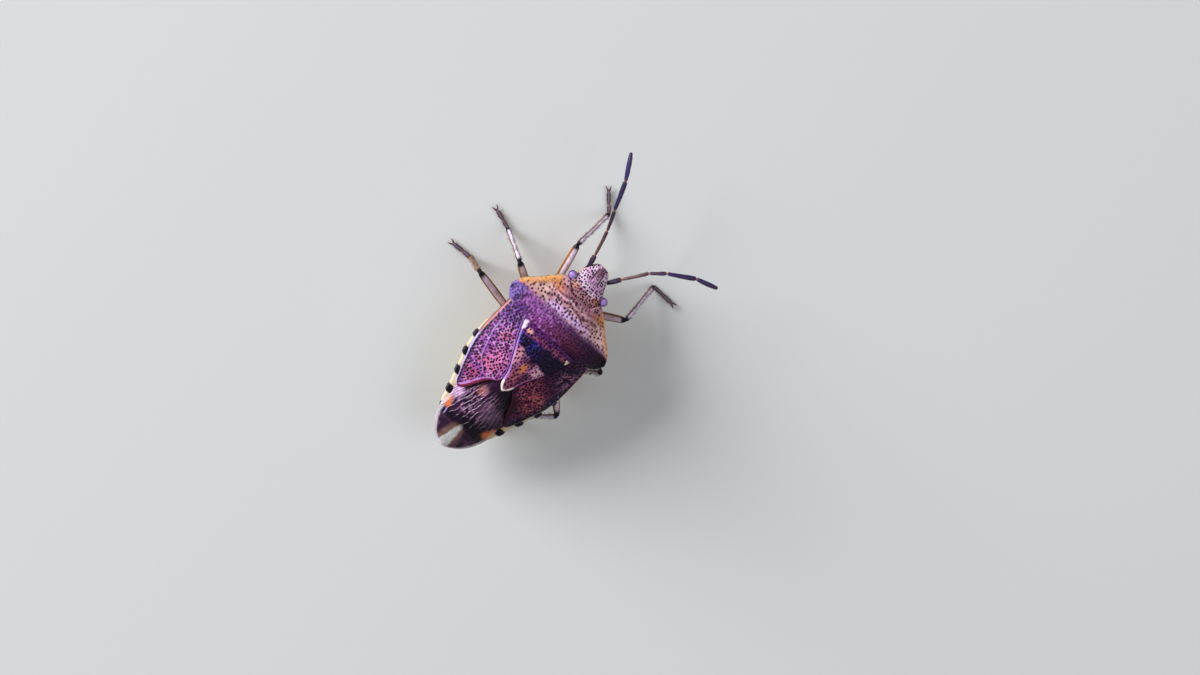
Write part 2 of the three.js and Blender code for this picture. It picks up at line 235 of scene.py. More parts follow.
def dome(crown, edge, width, power, x, y):
    """Height of a back that arches from its edges up to its crown."""
    share = np.clip(np.abs(x) / width(y), 0, 1)
    return edge(y) + (crown(y) - edge(y)) * (1 - share**power)


def wing_top(x, y):
    return dome(crown_height, edge_height, wing_width, 2.1, x, y)


def rounded(distance, radius):
    """How far a rounded edge drops at a distance in from the rim."""
    t = 1 - np.clip(distance / radius, 0, 1)
    return radius * (1 - np.sqrt(1 - t * t))


# Meshes


def place(name, data):
    made = bpy.data.objects.new(name, data)
    bpy.context.scene.collection.objects.link(made)
    return made


def set_inputs(node, **values):
    for key, value in values.items():
        node.inputs[key.replace("_", " ")].default_value = value


class Build:
    """Gathers points, faces, paint and pits, and makes one mesh of them."""

    def __init__(self):
        self.points, self.faces, self.paint, self.pits = [], [], [], []
        self.count = 0

    def add(self, points, faces, paint, pits=0.0):
        points = np.asarray(points, float).reshape(-1, 3)
        self.points.append(points)
        self.faces.extend((np.asarray(f) + self.count).tolist() for f in faces)
        self.paint.append(np.broadcast_to(np.asarray(paint, float).reshape(-1, 3), points.shape))
        self.pits.append(np.broadcast_to(np.ravel(pits), (len(points),)))
        self.count += len(points)

    def make(self, name, material, node):
        mesh = bpy.data.meshes.new(name)
        mesh.from_pydata(in_frame(np.concatenate(self.points)).tolist(), [], self.faces)
        mesh.polygons.foreach_set("use_smooth", [True] * len(mesh.polygons))
        colour = mesh.color_attributes.new("paint", "FLOAT_COLOR", "POINT")
        rgba = np.ones((self.count, 4))
        rgba[:, :3] = np.concatenate(self.paint)
        colour.data.foreach_set("color", rgba.ravel())
        pit = mesh.attributes.new("pit", "FLOAT", "POINT")
        pit.data.foreach_set("value", np.concatenate(self.pits).astype(np.float32))
        mesh.materials.append(material)
        mesh.validate()
        piece = place(name, mesh)
        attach(piece, "root")
        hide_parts(node)


def grid_faces(rows, cols, start=0, flip=False, wrap=False):
    """Quads over a grid of points, closed round its columns where wrap is set."""
    index = start + np.arange(rows * cols).reshape(rows, cols)
    if wrap:
        index = np.concatenate([index, index[:, :1]], axis=1)
    quads = np.stack([index[:-1, :-1], index[:-1, 1:], index[1:, 1:], index[1:, :-1]], axis=-1)
    quads = quads.reshape(-1, 4)
    return quads[:, ::-1] if flip else quads


def girth(x, z):
    """Distance along each row of a surface from its middle, so that marks keep their size on steep sides."""
    steps = np.hypot(np.diff(x, axis=1), np.diff(z, axis=1))
    along = np.concatenate([np.zeros((len(x), 1)), np.cumsum(steps, axis=1)], axis=1)
    return along - along[:, x.shape[1] // 2][:, None]


def shell(build, x, y, top, bottom, paint, pits=0.0, under=None, skip=1):
    """A closed plate between two height grids. Its underside has each skip-th row and column."""
    rows, cols = x.shape
    low = (slice(None, None, skip), slice(None, None, skip))
    low_rows, low_cols = x[low].shape
    size = rows * cols
    high_ring = edge_ring(rows, cols)
    low_ring = edge_ring(low_rows, low_cols) + size
    faces = grid_faces(rows, cols).tolist() + grid_faces(low_rows, low_cols, size, flip=True).tolist()
    for i, corner in enumerate(low_ring):
        after = low_ring[(i + 1) % len(low_ring)]
        above = np.take(high_ring, np.arange(i * skip, (i + 1) * skip + 1), mode="wrap")
        faces.append([*above[::-1].tolist(), int(corner), int(after)])
    points = [np.stack([x, y, top], axis=-1), np.stack([x, y, bottom], axis=-1)[low]]
    under = paint if under is None else np.broadcast_to(under, paint.shape)
    top_pits = np.broadcast_to(pits, x.shape)[..., None]
    build.add(join(*points), faces, join(paint, under[low]), join(top_pits, 0 * x[low][..., None]))


def join(first, second):
    return np.concatenate([first.reshape(-1, first.shape[-1]), second.reshape(-1, second.shape[-1])])


def edge_ring(rows, cols):
    """The points round the border of a grid, in order."""
    index = np.arange(rows * cols).reshape(rows, cols)
    return np.concatenate([index[0, :-1], index[:-1, -1], index[-1, :0:-1], index[:0:-1, 0]])


def lens_grid(width, start, end, rows, cols):
    """A plan grid across the body, closer together at the edges, with its share of the half width."""
    y, u = np.meshgrid(np.linspace(start, end, rows), -np.cos(np.linspace(0, np.pi, cols)), indexing="ij")
    return u * width(y), y, u


def lens(u, edge, top, bottom, power):
    """Heights of a body that is rounded from its top to its underside."""
    share = np.clip(1 - np.abs(u) ** power, 0, 1) ** (1 / power)
    return edge + (top - edge) * share + 0.002, edge + (bottom - edge) * share - 0.002


def tube(build, path, radii, paint, sides=16, flatten=1.0, pits=0.0):
    """A round limb with closed ends along a path. paint is one colour or a function of (share, angle)."""
    path, radii = np.asarray(path, float), np.asarray(radii, float)
    way = np.gradient(path, axis=0)
    way /= np.linalg.norm(way, axis=1, keepdims=True)
    across = np.cross(way[0], [0, 0, 1.0])
    if np.linalg.norm(across) < 0.1:
        across = np.cross(way[0], [0, 1.0, 0])
    rings = []
    angle = np.linspace(0, 2 * np.pi, sides, endpoint=False)
    for point, forward, radius in zip(path, way, radii):
        across = across - forward * np.dot(across, forward)
        across /= np.linalg.norm(across)
        up = np.cross(across, forward)
        ring = np.outer(np.cos(angle), across) + flatten * np.outer(np.sin(angle), up)
        rings.append(point + radius * ring)
    rings = np.array(rings)
    rows = len(rings)
    points = np.concatenate([rings.reshape(-1, 3), path[:1], path[-1:]])
    faces = [list(f) for f in grid_faces(rows, sides, flip=True, wrap=True)]
    first, last = rows * sides, rows * sides + 1
    for i in range(sides):
        j = (i + 1) % sides
        faces.append([first, i, j])
        faces.append([last, (rows - 1) * sides + j, (rows - 1) * sides + i])
    if callable(paint):
        length = np.concatenate([[0], np.cumsum(np.linalg.norm(np.diff(path, axis=0), axis=1))])
        share, turn = np.meshgrid(length / length[-1], angle, indexing="ij")
        colours = paint(share, turn).reshape(-1, 3)
        paint = np.concatenate([colours, colours[:1], colours[-1:]])
    build.add(points, faces, paint, pits)


def smooth_path(stations, steps):
    """Points along a rounded line through the stations."""
    stations = np.asarray(stations, float)
    at = np.arange(len(stations))
    fine = np.linspace(0, len(stations) - 1, steps)
    return np.stack([through(*zip(at, stations[:, k]))(fine) for k in range(stations.shape[1])], axis=-1)


def hairs(build, path, radii, count, length, colour, lean=0.5):
    """Short bristles that lean towards the end of a limb."""
    path = np.asarray(path, float)
    for _ in range(count):
        at = random.uniform(0.04, 0.96) * (len(path) - 1)
        i = int(at)
        way = path[i + 1] - path[i]
        way = way / np.linalg.norm(way)
        out = random.normal(size=3)
        out -= way * np.dot(out, way)
        out /= np.linalg.norm(out)
        radius = np.interp(at, np.arange(len(radii)), radii)
        root = path[i] + (path[i + 1] - path[i]) * (at - i) + out * radius * 0.9
        reach = length * random.uniform(0.7, 1.2)
        middle = root + (out + lean * way) * reach * 0.5
        tip = root + (out * 0.8 + (lean + 0.35) * way) * reach
        if min(root[2], tip[2]) > FLOOR_CLEARANCE:
            tube(build, [root, middle, tip], BRISTLE_RADII, colour, sides=3)


# Materials


COAT_ROUGHNESS, SPECULAR_LEVEL, PIT_DULLNESS = 0.18, 0.17, 0.2
GRAIN_DEPTH = 0.02 * MM


def add_node(tree, kind, **values):
    """A shader node with its own settings or its inputs set by name."""
    made = tree.nodes.new(kind)
    for key, value in values.items():
        if hasattr(made, key):
            setattr(made, key, value)
        else:
            set_inputs(made, **{key: value})
    return made


def noise_of(tree, places, size_mm, detail):
    made = add_node(tree, "ShaderNodeTexNoise", Scale=1 / (size_mm * MM), Detail=detail, Roughness=0.6)
    tree.links.new(places.outputs["Object"], made.inputs["Vector"])
    return made.outputs["Fac"]


def scaled(tree, value, low, high):
    made = add_node(tree, "ShaderNodeMapRange", To_Min=low, To_Max=high, From_Min=0.25, From_Max=0.75)
    tree.links.new(value, made.inputs["Value"])
    return made.outputs["Result"]


def add_tone(tree, shader, places, blotch):
    """The mesh's paint, made uneven by large and small blotches."""
    paint = add_node(tree, "ShaderNodeVertexColor", layer_name="paint")
    tone = add_node(tree, "ShaderNodeMix", data_type="RGBA", blend_type="MULTIPLY")
    tone.inputs["Factor"].default_value = 1.0
    uneven = add_node(tree, "ShaderNodeMath", operation="MULTIPLY")
    large, small = noise_of(tree, places, 0.35, 3.0), noise_of(tree, places, 0.05, 4.0)
    tree.links.new(scaled(tree, large, 1 - blotch * 0.5, 1 + blotch * 0.5), uneven.inputs[0])
    tree.links.new(scaled(tree, small, 1 - blotch, 1 + blotch), uneven.inputs[1])
    tree.links.new(paint.outputs["Color"], tone.inputs["A"])
    tree.links.new(uneven.outputs["Value"], tone.inputs["B"])
    tree.links.new(tone.outputs["Result"], shader.inputs["Base Color"])


def add_gloss(tree, shader, places, roughness):
    """Uneven gloss, duller in the pits."""
    pit = add_node(tree, "ShaderNodeAttribute", attribute_name="pit")
    rough = add_node(tree, "ShaderNodeMath", operation="MULTIPLY_ADD")
    tree.links.new(pit.outputs["Fac"], rough.inputs[0])
    rough.inputs[1].default_value = PIT_DULLNESS
    streaks = scaled(tree, noise_of(tree, places, 0.12, 3.0), roughness - 0.08, roughness + 0.1)
    tree.links.new(streaks, rough.inputs[2])
    tree.links.new(rough.outputs["Value"], shader.inputs["Roughness"])


def material(name, roughness, coat=0.0, grain=0.03, blotch=0.3, bump=0.15):
    """Painted cuticle: the mesh's paint with uneven tone, fine grain and pits that are duller."""
    made = bpy.data.materials.new(name)
    made.use_nodes = True
    tree = made.node_tree
    shader = tree.nodes["Principled BSDF"]
    set_inputs(shader, Coat_Weight=coat, Coat_Roughness=COAT_ROUGHNESS)
    set_inputs(shader, IOR=1.5, Specular_IOR_Level=SPECULAR_LEVEL)
    places = add_node(tree, "ShaderNodeTexCoord")
    add_tone(tree, shader, places, blotch)
    add_gloss(tree, shader, places, roughness)
    relief = add_node(tree, "ShaderNodeBump", Strength=bump, Distance=GRAIN_DEPTH)
    tree.links.new(noise_of(tree, places, grain, 5.0), relief.inputs["Height"])
    tree.links.new(relief.outputs["Normal"], shader.inputs["Normal"])
    return made


SHELL = material("waxy_cuticle", 0.42, coat=0.07)
LIMB = material("limb_cuticle", 0.4, coat=0.07, grain=0.02)
FILM = material("wing_film", 0.32, coat=0.22, grain=0.06, bump=0.3)
EYE = material("eye_lens", 0.2, coat=0.7, blotch=0.25, bump=0.1)
SKIN = material("belly_cuticle", 0.42, coat=0.1)


# Head


def head_paint(x, y, raised, groove, ocellus, pits):
    return layered(
        ground(x.shape, rgb(212, 164, 204)),
        (rgb(246, 216, 240), 0.8 * smooth(0.4, 0.7, noise(x, y, 0.2, 4))),
        (rgb(170, 108, 112), 0.85 * smooth(0.98, 1.16, y + 0.12 * noise(x, y, 0.15, 3))),
        (rgb(206, 140, 104), 0.7 * spot(np.abs(x), y, 0.5, 1.02, 0.18, 0.12)),
        (rgb(134, 84, 98), 0.8 * raised * smooth(0.6, 0.2, y)),
        (rgb(60, 26, 60), 0.7 * spot(np.abs(x), y, 0.62, 0.9, 0.1, 0.2, 0.4)),
        (rgb(34, 8, 24), groove),
        (BLACK, pits),
        (rgb(140, 30, 60), ocellus),
    )


def head():
    x, y, u = lens_grid(head_width, 0.0, 1.42, rows=191, cols=181)
    furrow = 0.1 + 0.04 * smooth(0.0, 0.5, y)
    groove = np.exp(-(((np.abs(x) - furrow) / 0.024) ** 2)) * smooth(0.66, 0.5, y) * smooth(0.06, 0.14, y)
    raised = smooth(furrow + 0.01, furrow - 0.03, np.abs(x)) * smooth(0.8, 0.45, y)
    ocellus = spot(np.abs(x), y, 0.3, 1.05, 0.035, 0.035)
    crown = head_crown(y) + 0.035 * raised + 0.03 * ocellus
    top, bottom = lens(u, head_edge(y), crown, head_floor(y), 2.5)
    round_top, round_under = girth(x, top), girth(x, bottom)
    coarse = punctures(round_top, y, 0.096, 0.036, 11, keep=0.97) * smooth(0.0, 0.04, y)
    fine = punctures(x, y, 0.075, 0.026, 14, keep=0.85)
    pits = np.maximum(coarse * (1 - 0.75 * raised), fine * raised) * (1 - ocellus) * (1 - groove)
    top = top - 0.03 * groove - 0.018 * pits
    paint = head_paint(x, y, raised, groove, ocellus, pits)
    under = ground(x.shape, rgb(196, 160, 130))
    under = lay(under, BLACK, 0.8 * punctures(round_under, y, 0.11, 0.035, 15))
    build = Build()
    shell(build, x, y, top, bottom, paint, pits, under=under)
    for sign in SIDES.values():
        socket = [(sign * 0.36, 0.56, 1.3), (sign * 0.41, 0.45, 1.37), (sign * 0.44, 0.37, 1.41)]
        tube(build, socket, [0.1, 0.085, 0.06], rgb(120, 84, 90), sides=20)
    build.make("head_skin", SHELL, "head")


def eye(side):
    name = "eye_" + side
    sign = SIDES[side]
    build = Build()
    rows, cols = 96, 136
    turn = np.linspace(0, 2 * np.pi, cols, endpoint=False)
    lift = np.linspace(-np.pi / 2 + 0.03, np.pi / 2 - 0.03, rows)
    lift, turn = np.meshgrid(lift, turn, indexing="ij")
    flat = np.cos(lift)
    ball = np.stack([flat * np.cos(turn), 0.95 * flat * np.sin(turn), 0.9 * np.sin(lift)], axis=-1)
    a, b, c = np.moveaxis(ball * 26, -1, 0)
    facet = np.abs(np.sin(a) * np.cos(b) + np.sin(b) * np.cos(c) + np.sin(c) * np.cos(a))
    ball *= 1 + 0.01 * facet[..., None]
    centre = np.array([sign * (EYE_X - EYE_INSET), EYE_Y, EYE_Z])
    points = np.concatenate([ball.reshape(-1, 3), [[0, 0, -0.9], [0, 0, 0.9]]]) * EYE_R + centre
    faces = [list(f) for f in grid_faces(rows, cols, wrap=True)]
    low, high = rows * cols, rows * cols + 1
    for i in range(cols):
        j = (i + 1) % cols
        faces.append([low, j, i])
        faces.append([high, low - cols + i, low - cols + j])
    height = (points[:, 2] - EYE_Z) / EYE_R
    # Lighter towards the top: a painted highlight on the eye.
    paint = lay(ground(height.shape, rgb(78, 34, 104)), rgb(184, 144, 222), smooth(0.2, 0.95, height))
    paint[:low] = lay(paint[:low], rgb(34, 12, 58), 0.6 * smooth(0.4, 0.05, facet.ravel()))
    build.add(points, faces, paint)
    build.make(name + "_lens", EYE, name)


# Pronotum


def pronotum_paint(x, y, hind, behind, margin, pits, edge_pits):
    side = np.abs(x)
    # shade: painted shade, darker towards the bug's right, partly the back's own darker colour.
    shade = smooth(1.2, -1.6, x)
    wave = np.sin((y + 0.05 * np.sin(6 * x) + 0.07 * noise(x, y, 0.16, 8)) * 2 * np.pi / 0.2)
    middle = smooth(1.6, 1.0, side) * smooth(1.35, 1.5, y)
    blots = 0.7 + 0.6 * noise(x, y, 0.14, 34)
    shoulder = np.clip(smooth(1.6, 1.82, side) * smooth(2.14, 2.3, y) * blots, 0, 1)
    # The lilac band across the middle is its own colour with a painted sheen on it.
    lilac_band_and_sheen = band(y + 0.05 * np.cos(2 * x), 1.92, 2.22, 0.1) * smooth(1.3, 0.6, side)
    dark_waves = smooth(0.1, -0.7, wave) * smooth(0.15, 0.5, noise(x, y, 0.14, 32)) * middle
    pale_waves = smooth(0.2, 0.8, wave) * smooth(0.2, 0.6, noise(x, y, 0.18, 38)) * middle
    return layered(
        ground(x.shape, rgb(206, 150, 162)),
        (rgb(104, 48, 72), 0.75 * dark_waves),
        (rgb(240, 206, 222), 0.65 * pale_waves),
        (rgb(156, 96, 110), 0.55 * smooth(0.45, 0.7, noise(x, y, 0.13, 7))),
        (rgb(242, 198, 250), 0.95 * smooth(0.9, 0.5, noise(x, y * 0.7, 0.1, 35)) * lilac_band_and_sheen),
        (rgb(224, 182, 156), 0.6 * smooth(0.7, 1.3, side) * smooth(2.25, 1.9, y)),
        # The right front margin is painted paler: painted light against the shade that side gets.
        (rgb(255, 208, 216), 0.8 * smooth(-0.9, -1.4, x) * smooth(2.25, 2.0, y)),
        (rgb(206, 124, 62), 0.75 * spot(side, y, 0.92, 1.42, 0.32, 0.14, 0.6)),
        (rgb(176, 112, 136), 0.65 * spot(x, y, 0, 1.38, 0.75, 0.09, 0.6)),
        (rgb(156, 92, 166), hind),
        (rgb(110, 40, 104), 0.75 * smooth(2.5, 2.85, y + 0.1 * noise(x, y, 0.2, 39))),
        # Rear band darker towards the right: partly its own colour, partly painted shade.
        (rgb(46, 4, 50), hind * np.clip(0.1 + 0.9 * shade, 0, 1)),
        (rgb(104, 24, 48), 0.6 * hind * spot(x, y, -0.3, 2.62, 0.7, 0.25, 0.8)),
        # Lilac mottle on the left half of the rear band: painted sheen on the lit side.
        (rgb(190, 120, 200), 0.6 * hind * smooth(0.55, 0.75, noise(x, y, 0.09, 9)) * smooth(-0.6, 0.6, x)),
        # Left shoulder: blue-lilac painted sheen over dark purple mottle. Right shoulder: painted black as
        # painted shade.
        (rgb(126, 106, 180), 0.8 * shoulder * (x > 0)),
        (rgb(58, 22, 84), 0.75 * shoulder * (x > 0) * smooth(0.4, 0.65, noise(x + 0.4 * y, y, 0.12, 36))),
        (BLACK, 0.85 * shoulder * (x < 0)),
        (rgb(50, 12, 68), 0.8 * hind * spot(x - 0.57 * (y - 2.5), y, 1.68, 2.5, 0.07, 0.24, 0.7)),
        (rgb(60, 36, 104), 0.75 * hind * spot(x, y, 1.45, 2.82, 0.24, 0.16, 0.8)),
        (rgb(236, 160, 84), (0.6 + 0.4 * noise(x, y, 0.1, 37)) * margin * smooth(2.28, 2.16, y)),
        (
            rgb(128, 114, 200),
            0.85 * band(behind, 0.0, 0.08, 0.03) * smooth(-0.6, 0.5, x) * smooth(1.5, 1.3, side),
        ),
        (rgb(190, 150, 150), 0.6 * band(behind, 0.0, 0.05, 0.02) * band(side, 1.2, 1.8, 0.1)),
        (PIT, pits * (0.95 - 0.35 * hind)),
        (BLACK, 0.6 * edge_pits * margin),
    )


def pronotum():
    lines, cols = 189, 369
    across = np.sin(np.linspace(-1, 1, cols) * np.pi / 2)
    v, u = np.meshgrid(np.linspace(0, 1, lines), across, indexing="ij")
    x = PRONOTUM_HALF * u
    side = np.abs(x)
    front, rear = pronotum_front(side), pronotum_rear(side)
    y = front + (rear - front) * v
    slope = 0.75
    in_front = (y - front) * np.where(side > 0.9, slope, 1)
    behind = (rear - y) * np.where(side > 1.3, slope, 1)
    rim = np.minimum(in_front, behind)
    margin = smooth(0.24, 0.08, in_front + 0.06 * noise(x, y, 0.1, 33)) * smooth(0.85, 1.0, side)
    top = dome(crown_height, edge_height, pronotum_width, 1.9, x, y)
    callus = np.exp(-(((side - 0.62) / 0.3) ** 2) - ((y - 1.52) / 0.13) ** 2)
    top += 0.06 * callus + 0.07 * np.exp(-(((y - 2.6) / 0.35) ** 2)) * smooth(2.2, 1.2, side)
    top += 0.04 * margin - 0.03 * np.exp(-(((y - 1.95) / 0.16) ** 2)) * smooth(1.9, 1.2, side)
    sparse = punctures(x, y, 0.12, 0.042, 21, keep=0.92, wave=0.05, stretch=1.15)
    dense = punctures(x, y, 0.105, 0.04, 25, keep=0.95, wave=0.03)
    hind = smooth(2.1, 2.35, y + 0.08 * noise(x, y, 0.3, 5))
    flat = 1 - 0.85 * callus
    pits = (sparse * (1 - hind) * flat + dense * hind) * smooth(0.02, 0.06, rim)
    edge_pits = punctures(x, y, 0.16, 0.035, 28, keep=0.7)
    pits = pits * (1 - margin) + edge_pits * margin * smooth(0.03, 0.07, rim)
    ripples = noise(x, y * 1.6, 0.06, 31) - 0.5
    top = top - PIT_DEPTH * pits + 0.014 * ripples * hind - rounded(rim, 0.06)
    flare = (edge_height(y) - seam_height(y) - 0.12) * (side / 2.2) ** 2
    bottom = np.minimum(top - 0.03, seam_height(y) + 0.05 + flare)

    paint = pronotum_paint(x, y, hind, behind, margin, pits, edge_pits)
    build = Build()
    dark_tip = smooth(1.7, 2.0, side) * smooth(2.1, 2.3, y)
    under = lay(ground(x.shape, BELLY), MAROON, dark_tip)
    under = lay(under, BLACK, 0.7 * sparse * (1 - dark_tip))
    shell(build, x, y, top, bottom, paint, pits, under=under, skip=4)
    build.make("pronotum_shield", SHELL, "pronotum")


# Scutellum

# For each pale mark on the base: x, y and half its width
BASE_SPOTS = (
    (0.48, 3.24, 0.13), (0.2, 3.16, 0.08), (-0.02, 3.25, 0.1), (-0.4, 3.18, 0.16), (-0.74, 3.24, 0.08),
)


def scutellum_paint(x, y, rim, ivory, patch, callus, pits):
    # Painted glints: blue specks on the black patch, on the lit left half.
    blue_glints = smooth(0.55, 0.8, noise(x, y, 0.06, 49)) * smooth(-0.2, 0.3, x)
    corner = spot(x, y, 1.04, 3.16, 0.09, 0.2, 0.3) * (x > 0)
    side_line = smooth(0.05, 0.025, rim) * smooth(3.2, 3.4, y)
    paint = layered(
        ground(x.shape, rgb(150, 88, 132)),
        (rgb(214, 160, 176), 0.8 * spot(x, y, -0.42, 4.08, 0.2, 0.26, 0.5)),
        (rgb(206, 140, 152), 0.75 * spot(x, y, 0.52, 4.1, 0.16, 0.35, 0.5)),
        (rgb(72, 20, 54), 0.85 * spot(x, y, 0.08, 4.02, 0.26, 0.12, 0.6)),
        (rgb(120, 48, 66), 0.8 * smooth(4.25, 4.6, y) * smooth(0.06, 0.14, rim)),
        # Darker on the bug's right near the tip: partly its own colour, partly painted shade.
        (rgb(56, 18, 44), 0.75 * smooth(-0.02, -0.2, x) * smooth(4.2, 4.45, y) * smooth(0.04, 0.1, rim)),
        (rgb(196, 110, 48), 0.85 * spot(x, y, 0.04, 4.3, 0.13, 0.18, 0.6)),
        (rgb(176, 92, 100), 0.6 * spot(x, y, 0.1, 4.7, 0.12, 0.16, 0.6)),
        (rgb(86, 24, 98), 0.95 * smooth(3.45, 3.3, y)),
    )
    ragged = 0.12 * (noise(x, y, 0.07, 47) - 0.5)
    for cx, cy, reach in BASE_SPOTS:
        paint = lay(paint, rgb(160, 82, 82), 0.7 * spot(x + ragged, y - ragged, cx, cy, reach, 0.08, 0.7))
    return layered(
        paint,
        (rgb(10, 0, 40), patch),
        # Painted blue glints on the black patch.
        (rgb(74, 66, 190), 0.5 * patch * blue_glints),
        (rgb(222, 196, 228), corner),
        (rgb(226, 160, 150), 0.9 * spot(x, y, 0.76, 3.2, 0.11, 0.09, 0.4)),
        (rgb(164, 122, 204), 0.6 * side_line * smooth(-0.1, 0.1, x)),
        (rgb(232, 214, 168), callus),
        (IVORY, ivory),
        (PIT, pits * (1 - callus) * (1 - 0.7 * corner)),
    )


def scutellum():
    rows, cols = 229, 181
    y, u = np.meshgrid(np.linspace(2.95, 5.355, rows), np.linspace(-1, 1, cols), indexing="ij")
    width = scutellum_width(y)
    x = u * width
    side = np.abs(x)
    rim = np.minimum((width - side) * 0.88, (5.365 - y) * 0.7)
    ivory = smooth(4.95, 5.08, y) * smooth(0.1, 0.045, rim)
    patch = band(y + 0.16 * noise(x, y, 0.22, 41) - 0.09, 3.32, 3.9 - 0.2 * smooth(0.3, 0.6, x), 0.05)
    pits = punctures(x, y, 0.115, 0.04, 43, keep=0.92) * smooth(0.03, 0.07, rim) * (1 - ivory)
    top = wing_top(x, y) + 0.05 - PIT_DEPTH * pits - rounded(rim, 0.07) + 0.02 * ivory
    top += 0.012 * (noise(x, y * 2.2, 0.07, 45) - 0.5) * (1 - ivory)
    callus = smooth(0.0, 0.04, 3.31 - y - 2.0 * np.abs(x + 0.96)) * smooth(3.1, 3.14, y)
    bottom = wing_top(x, y) + 0.05 - SCUTELLUM_THICKNESS
    paint = scutellum_paint(x, y, rim, ivory, patch, callus, pits)
    build = Build()
    shell(build, x, y, top + 0.03 * callus, bottom, paint, pits, skip=4)
    build.make("scutellum_shield", SHELL, "scutellum")


# Forewings


vein_line = through((3.4, 1.64), (4.0, 1.6), (4.5, 1.45), (4.8, 1.35), (5.0, 1.24), (5.2, 1.0), (5.4, 0.78))
claval_line = through((3.1, 1.42), (4.0, 0.98), (4.9, 0.5), (5.2, 0.36))
# For each side: the colours of the rib and the rim at the corium's end, and the strength of its outer line.
# The right side's darker colours are partly painted shade.
CORIUM_ENDS = {
    "left": (rgb(176, 116, 186), rgb(112, 30, 58), 0.8),
    "right": (rgb(58, 20, 40), rgb(44, 10, 26), 0.4),
}


def left_corium_paint(x, y, inward, outward, vein, suture):
    return layered(
        ground(x.shape, rgb(142, 66, 146)),
        (rgb(210, 148, 206), 0.7 * smooth(0.5, 0.75, noise(x, y, 0.12, 57))),
        (rgb(176, 74, 96), 0.6 * smooth(0.5, 0.7, noise(x, y, 0.25, 58)) * smooth(3.4, 3.9, y)),
        (rgb(96, 54, 134), 0.75 * smooth(3.8, 3.2, y)),
        (rgb(226, 122, 176), 0.75 * spot(x, y, 0.85, 4.75, 0.34, 0.45, 0.6)),
        (rgb(70, 26, 90), 0.6 * smooth(0.28, 0.08, outward) * smooth(3.9, 4.3, y)),
        (rgb(80, 30, 84), 0.6 * suture),
        (rgb(164, 138, 200), 0.6 * vein),
        (rgb(150, 120, 190), 0.6 * smooth(0.06, 0.03, inward) * smooth(5.2, 5.0, y)),
    )


# The right wing is painted much darker than the left: partly its own colour, partly painted shade.
def right_corium_paint(x, y, outward):
    mottle = smooth(0.3, 0.55, noise(x, y, 0.13, 59))
    glint = smooth(0.6, 0.8, noise(x, y, 0.06, 61)) * band(outward, 0.04, 0.16) * smooth(3.8, 4.2, y)
    return layered(
        ground(x.shape, rgb(50, 10, 60)),
        (rgb(150, 56, 84), 0.6 * spot(x, y, -1.0, 4.9, 0.5, 0.8, 0.5)),
        (rgb(206, 96, 110), 0.85 * mottle * spot(x, y, -0.66, 4.7, 0.32, 0.5, 0.5)),
        (rgb(232, 122, 116), 0.95 * mottle * spot(x, y, -1.16, 5.02, 0.4, 0.42, 0.6)),
        (rgb(190, 130, 150), 0.85 * mottle * spot(x, y, -1.5, 3.6, 0.3, 0.42, 0.6)),
        (rgb(92, 40, 84), 0.5 * mottle),
        # Painted shadow from the scutellum's tip on the wing's inner corner.
        (BLACK, 0.9 * spot(x, y, -0.62, 5.6, 0.3, 0.45, 0.6)),
        (BLACK, 0.7 * smooth(0.25, 0.1, outward) * smooth(3.7, 4.2, y)),
        (rgb(150, 150, 210), 0.5 * glint * smooth(5.0, 4.6, y)),
    )


def corium_edges(paint, side, y, inward, outward, apical, pits):
    rib, rim_colour, glow = CORIUM_ENDS[side]
    pale_edge = smooth(0.05, 0.025, outward)
    return layered(
        paint,
        (rib, 0.85 * apical * band(inward, 0.1, 0.14, 0.015)),
        (rim_colour, apical * smooth(0.1, 0.07, inward)),
        (rgb(184, 122, 98), 0.85 * pale_edge * smooth(4.5, 4.1, y)),
        (rgb(180, 168, 214), glow * pale_edge * smooth(4.2, 4.6, y)),
        (BLACK, 0.9 * band(outward, 0.05, 0.1, 0.015) * smooth(3.3, 3.8, y)),
        (rgb(14, 0, 26), 0.97 * pits),
    )


def corium(side):
    sign = SIDES[side]
    rows, cols = 321, 161
    y, u = np.meshgrid(np.linspace(2.75, 6.27, rows), np.linspace(0, 1, cols), indexing="ij")
    inner, outer = corium_inner(y), corium_outer(y)
    across = inner + (outer - inner) * u
    inward = (across - inner) * np.where(y > 5.2, 0.72, 0.9)
    outward = outer - across
    rim = np.minimum(inward, outward)
    vein = np.exp(-(((across - vein_line(y)) / 0.035) ** 2)) * smooth(3.3, 3.8, y) * smooth(5.45, 5.2, y)
    suture = np.exp(-(((across - claval_line(y)) / 0.02) ** 2)) * smooth(5.25, 5.05, y)
    apical = smooth(5.15, 5.35, y)
    aslant, along = 0.88 * across - 0.47 * y, 0.47 * across + 0.88 * y
    pits = punctures(aslant, along, 0.096, 0.041, 51 + (side == "left"), keep=0.97, wave=0.04)
    pits *= smooth(0.03, 0.06, rim) * (1 - 0.8 * vein) * (1 - apical * smooth(0.16, 0.1, inward))
    top = wing_top(across, y) + 0.03 * vein - 0.02 * suture - PIT_DEPTH * pits - rounded(rim, 0.05)
    top += 0.015 * (noise(across, y, 0.09, 55) - 0.5)
    bottom = wing_top(across, y) - CORIUM_THICKNESS - rounded(outward, 0.05)

    x = across * sign
    if side == "left":
        paint = left_corium_paint(x, y, inward, outward, vein, suture)
    else:
        paint = right_corium_paint(x, y, outward)
    paint = corium_edges(paint, side, y, inward, outward, apical, pits)
    if side == "right":
        x, top, bottom, paint, pits = (grid[:, ::-1] for grid in (x, top, bottom, paint, pits))
    build = Build()
    shell(build, x, y, top, bottom, paint, pits, under=WINE, skip=4)
    build.make("corium_" + side + "_wing", SHELL, "corium_" + side)


overlap_line = through((5.1, -0.1), (5.5, -0.42), (5.9, -0.7), (6.5, -0.88), (7.2, -1.02), (8.2, -1.1))


